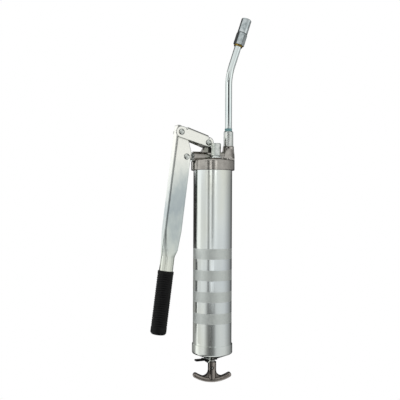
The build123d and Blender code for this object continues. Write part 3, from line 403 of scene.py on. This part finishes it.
def seal_rubber():
    """Nitrile rubber of the seals: matt black with a film of grease."""
    material, tree, where, shader = start("nitrile_rubber")
    film = grain(tree, where, 4, detail=4)
    colour = add(tree, "ValToRGB", {0: film}, stops=[(0.30, "#141414"), (0.70, "#242322")])
    put(tree, shader, colour, (film, 0.30, 0.55), film, relief=0.03, strength=0.4)
    return material


FINISHES = {
    "cast": plated_casting(
        "plated_head_casting", "#94918B", "#A5A29C", "#B4B1AB", smooth=0.08, edge_shade=0.8),
    "handle_cast": plated_casting(
        "plated_handle_casting", "#7F7973", "#958F88", "#A59F98", smooth=0.10, edge_shade=1.6),
    "zinc_barrel": zinc_plated_tube(),
    "zinc_lever": zinc_plated_pressing(),
    "zinc_fitting": zinc_plated_turning("zinc_on_turned_bar", "#BCC3BF", "#D0D5D1", "#DBDDD9"),
    "pipe": zinc_plated_pipe(),
    "pins": plated_pins(),
    "plain_steel": ground_steel(),
    "spring_steel": drawn_spring_wire(),
    "latch_black": black_oxide(),
    "latch_bright": zinc_plated_pressing(),
    "brass": turned_brass(),
    "washer_copper": soft_copper(),
    "sealant": dried_sealant(),
    "grip": moulded_grip(),
    "rubber": seal_rubber(),
}
COUPLER_FINISH = zinc_plated_turning("dull_zinc_on_coupler", "#959FA0", "#B3BCBD", "#C9CFD0")
NODE_FINISHES = {                   # where a node differs from the rest of its slot
    "coupler_body": COUPLER_FINISH,
    "coupler_nose": COUPLER_FINISH,
}


def finish_frame():
    """Gives every CAD node the material of its slot."""
    for row in frame["record"]["subparts"]:
        node = frame["nodes"][row["node"]]
        finish = NODE_FINISHES.get(row["node"], FINISHES[row["material_slot"]])
        for slot in node.material_slots:
            slot.material = finish


# ------------------------------------------------------------------ studio
def stage_mesh(name, build):
    """A staged object made by one bmesh function."""
    mesh = bpy.data.meshes.new(name)
    shape = bmesh.new()
    build(shape)
    shape.to_mesh(mesh)
    shape.free()
    thing = bpy.data.objects.new(name, mesh)
    bpy.context.collection.objects.link(thing)
    return thing


def floor():
    """Pale round floor that looks white and keeps the shadow."""
    level = CAD_BOX[0][2] - FLOOR_DROP

    def build(shape):
        bmesh.ops.create_circle(shape, cap_ends=True, segments=96, radius=FLOOR_R,
                                matrix=Matrix.Translation((0, 0, level)))

    thing = stage_mesh("floor", build)
    material, tree, _, shader = start("pale_floor", roughness=0.8)
    shader.inputs["Base Color"].default_value = linear("#FAFAFA")
    shader.inputs["Specular IOR Level"].default_value = 0.0
    glow = add(tree, "Emission", {"Color": linear("#FFFFFF"), "Strength": FLOOR_GLOW})
    share = add(tree, "Math", {0: seen(tree), 1: FLOOR_GLOW_SHARE}, operation="MULTIPLY")
    mix = add(tree, "MixShader", {0: share, 1: shader, 2: glow})
    link(tree, mix, tree.nodes["Material Output"].inputs["Surface"])
    thing.data.materials.append(material)


def reflected_only(name, build, face):
    """A staged object seen only in reflections, with a material whose empty tree is given."""
    thing = stage_mesh(name, build)
    for kind in ("camera", "diffuse", "transmission", "volume_scatter", "shadow"):
        setattr(thing, "visible_" + kind, False)
    material = bpy.data.materials.new(face)
    material.use_nodes = True
    material.node_tree.nodes.clear()
    thing.data.materials.append(material)
    return material.node_tree


# Brightness of the tent round the object, by compass degrees from the front (-Y), towards +X.
# Each list is for one stretch of the tent's height, and is named for what shows it. The coupler
# and the lever's back show the head's too, and the top one shows in all that faces upwards.
TENT_CAP = [
    (-180, 0.1), (-172, 0.3), (-140, 0.4), (-130, 0.75), (-121, 1.3), (-108, 1.1), (-95, 0.85),
    (-70, 0.88), (-60, 0.6), (-52, 0.36), (-43, 0.2), (-32, 0.13), (-20, 0.18), (-10, 0.28),
    (-2, 0.55), (5, 0.7), (28, 0.78), (56, 0.75), (70, 0.6), (88, 0.44), (108, 0.26),
    (122, 0.14), (132, 0.08), (180, 0.08)]
TENT_BANDS = [
    (-180, 0.1), (-170, 0.35), (-150, 0.35), (-140, 0.25), (-134, 0.06), (-124, 0.08),
    (-119, 0.5), (-105, 0.8), (-96, 0.95), (-70, 0.85), (-57, 0.85), (-51, 0.6), (-48, 0.3),
    (-42, 0.3), (-38, 0.7), (-32, 0.95), (-27, 1.2), (-16, 1.25), (-11, 0.9), (-3, 0.82),
    (12, 0.8), (41, 0.8), (56, 0.72), (71, 0.58), (90, 0.42), (108, 0.25), (122, 0.1),
    (132, 0.05), (180, 0.08)]
TENT_LOW_BANDS = TENT_BANDS[:6] + TENT_CAP[4:]      # the left is the bands', the rest the cap's
TENT_BARREL = [
    (-180, 0.05), (-160, 0.04), (-139, 0.0), (-130, 0.2), (-124, 1.2), (-108, 1.4), (-96, 1.0),
    (-88, 0.82), (-63, 0.80), (-56, 0.98), (-50, 0.7), (-47.5, 0.36), (-42, 0.36), (-38, 0.8),
    (-33, 1.12), (-28, 0.8), (-24.5, 0.38), (-18, 0.38), (-13, 0.8), (-6, 1.05), (3, 0.98),
    (12, 0.86), (41, 0.86), (56, 0.78), (71, 0.62), (90, 0.44), (108, 0.28), (122, 0.12),
    (132, 0.04), (180, 0.05)]
TENT_COLLAR = [
    (-180, 0.02), (-172, 0.1), (-163, 0.9), (-150, 1.5), (-140, 1.2), (-134, 0.75),
    (-122, 0.95), (-114, 1.3), (-107, 2.4), (-101, 2.0), (-94, 1.25), (-82, 1.1), (-64, 1.05),
    (-56, 1.5), (-50, 1.2), (-47, 0.1), (-38, 0.1), (-36, 2.5), (-27, 2.5), (-25, 0.1),
    (-14, 0.15), (-9, 1.0), (-8, 2.5), (0, 2.5), (2, 0.8), (10, 1.02), (60, 0.93), (82, 0.6),
    (113, 0.4), (132, 0.15), (140, 0.02), (180, 0.02)]
TENT_HEAD = [
    (-180, 0.06), (-177, 0.1), (-174, 1.15), (-153, 1.15), (-149, 0.04), (-137, 0.04),
    (-133, 1.2), (-68, 1.1), (-63, 0.1), (-46, 0.1), (-42, 0.85), (10, 0.9), (30, 0.75),
    (60, 0.45), (90, 0.6), (112, 0.4), (122, 0.05), (180, 0.06)]
TENT_SPOUT = [
    (-180, 0.06), (-177, 0.1), (-174, 1.15), (-153, 1.15), (-149, 0.3), (-137, 0.3),
    (-133, 0.9), (-100, 0.9), (-80, 1.4), (-45, 1.4), (-40, 0.0), (-9, 0.0), (-4, 0.45),
    (9, 0.5), (15, 0.9), (30, 1.0), (36, 1.3), (68, 1.2), (80, 0.4), (115, 0.4), (125, 0.05),
    (180, 0.06)]
TENT_TOP = [
    (-180, 0.1), (-125, 0.1), (-105, 1.0), (-20, 1.0), (20, 0.8), (60, 0.4), (100, 0.12),
    (180, 0.1)]
TENT_ZONES = [                      # each from this height up, m, and the cap's below them
    (TENT_LOW_BANDS, -0.54), (TENT_BANDS, -0.41), (TENT_BARREL, -0.235), (TENT_COLLAR, 0.07),
    (TENT_HEAD, 0.125), (TENT_SPOUT, 0.235), (TENT_HEAD, 0.55), (TENT_TOP, 0.95)]
TENT_BLEND = 0.01                   # from one stretch to the next
TENT_R = 1.7
TENT_HEIGHT = 6
BRIGHTEST = 2.5                     # a ramp holds shares of this


def tent():
    """A pale tent with dark flags, seen only in the metal's reflections."""
    def build(shape):
        bmesh.ops.create_cone(shape, segments=96, radius1=TENT_R, radius2=TENT_R,
                              depth=TENT_HEIGHT, cap_ends=False)

    tree = reflected_only("tent", build, "tent_cloth")
    where = add(tree, "TexCoord").outputs["Object"]
    x, y, z = add(tree, "SeparateXYZ", {0: where}).outputs
    front = add(tree, "Math", {0: y, 1: -1.0}, operation="MULTIPLY")
    compass = add(tree, "Math", {0: x, 1: front}, operation="ARCTAN2")
    turn = add(tree, "Math", {0: compass, 1: tau}, operation="DIVIDE")
    turn = add(tree, "Math", {0: turn, 1: 0.5}, operation="ADD")

    def tones(levels):
        return add(tree, "ValToRGB", {0: turn}, stops=[
            (degrees / 360 + 0.5, level / BRIGHTEST) for degrees, level in levels])

    tone = tones(TENT_CAP)
    for levels, height in TENT_ZONES:
        share = add(tree, "MapRange", {
            "Value": z, "From Min": height - TENT_BLEND / 2, "From Max": height + TENT_BLEND / 2})
        tone = add(tree, "Mix", {0: share, FIRST_COLOUR: tone, SECOND_COLOUR: tones(levels)},
                   data_type="RGBA")
    glow = add(tree, "Emission", {"Color": tone, "Strength": BRIGHTEST})
    add(tree, "OutputMaterial", {"Surface": glow})


def glowing_card(name, build, level):
    """A card of one brightness, seen only in reflections."""
    tree = reflected_only(name, build, name + "_face")
    glow = add(tree, "Emission", {"Color": linear("#FFFFFF"), "Strength": level})
    add(tree, "OutputMaterial", {"Surface": glow})


def low_flag(name, compass, nearest, length, width):
    """A dark card under the handle, which edges the handle and the cap in their reflections."""
    level = CAD_BOX[0][2] - FLAG_DROP
    out = (Matrix.Rotation(radians(compass), 4, "Z")
           @ Matrix.Translation((0, -nearest - length / 2, level)))

    def build(shape):
        bmesh.ops.create_grid(shape, x_segments=1, y_segments=1, size=0.5,
                              matrix=out @ Matrix.Diagonal((width, length, 1, 1)))

    glowing_card(name, build, FLAG_LEVEL)


def fill_card(name, bottom, top, front, back, level):
    """A card tucked between lever and barrel, which fills the lever's reflection there."""
    def build(shape):
        corners = [(front, bottom), (back, bottom), (back, top), (front, top)]
        shape.faces.new([shape.verts.new((FILL_X, y, z)) for y, z in corners])

    glowing_card(name, build, level)


def back_card():
    """A white strip close behind the lever, which whitens the lever's narrow back."""
    width, y = 16, 25               # mm

    def build(shape):
        (high_x, high_z), (low_x, low_z) = LEVER_BACK_HIGH, LEVER_BACK_LOW
        corners = [(high_x - width, high_z), (high_x, high_z), (low_x, low_z),
                   (low_x - width, low_z)]
        shape.faces.new([shape.verts.new((x * MM, y * MM, z * MM)) for x, z in corners])

    glowing_card("back_card", build, 1.15)


def lamp(name, place, size, power):
    """A soft square lamp that points at the object and isn't seen in its reflections."""
    data = bpy.data.lights.new(name, "AREA")
    data.shape = "RECTANGLE"
    data.size, data.size_y = size
    data.energy = power
    thing = bpy.data.objects.new(name, data)
    thing.location = place
    thing.rotation_euler = (Vector(place) - LAMP_TARGET).to_track_quat("Z", "Y").to_euler()
    thing.visible_glossy = False
    bpy.context.collection.objects.link(thing)


def world():
    """White to the eye and in reflections, a softer fill for matt surfaces."""
    scene_world = bpy.data.worlds.new("studio")
    scene_world.use_nodes = True
    tree = scene_world.node_tree
    tree.nodes.clear()
    strength = add(tree, "MapRange", {"Value": seen(tree), "To Min": WORLD_FILL, "To Max": 1.0})
    sky = add(tree, "Background", {"Color": linear("#FFFFFF"), "Strength": strength})
    add(tree, "OutputWorld", {"Surface": sky})
    bpy.context.scene.world = scene_world


def camera():
    """Level camera at the eye height of the object's middle."""
    low, high = (Vector(corner) for corner in CAD_BOX)
    right = Vector((cos(CAMERA_AZIMUTH), sin(CAMERA_AZIMUTH), 0))
    back = Vector((sin(CAMERA_AZIMUTH), -cos(CAMERA_AZIMUTH), 0))
    middle = (low + high) / 2
    aim = Vector((middle.x, 0, middle.z)) + right * AIM_RIGHT + Vector((0, 0, AIM_UP))
    aim -= back * aim.dot(back)
    data = bpy.data.cameras.new("camera")
    data.sensor_width = 36
    data.lens = CAMERA_LENS
    data.clip_end = 30
    thing = bpy.data.objects.new("camera", data)
    thing.location = aim + back * CAMERA_DISTANCE
    turned = back.to_track_quat("Z", "Y") @ Quaternion((0, 0, 1), CAMERA_ROLL)
    thing.rotation_euler = turned.to_euler()
    bpy.context.collection.objects.link(thing)
    bpy.context.scene.camera = thing


finish_frame()
floor()
tent()
low_flag("flag_behind", compass=180, nearest=0.03, length=0.16, width=0.30)
low_flag("flag_left", compass=-62, nearest=0.05, length=0.14, width=0.07)
fill_card("fill_high", bottom=FILL_SPLIT, top=0.02, front=-13 * MM, back=0, level=1.15)
fill_card("fill_low", bottom=CAP_TOP, top=FILL_SPLIT, front=-15 * MM, back=-3 * MM, level=0.8)
back_card()
lamp("key_left", place=(-0.9, -1.0, 0.7), size=(0.7, 1.1), power=9)
lamp("fill_right", place=(1.1, -0.8, 0.3), size=(0.8, 1.2), power=6)
lamp("top", place=(0.0, -0.1, 1.3), size=(1.2, 1.2), power=7)
world()
camera()
bpy.context.scene.view_settings.view_transform = "Standard"
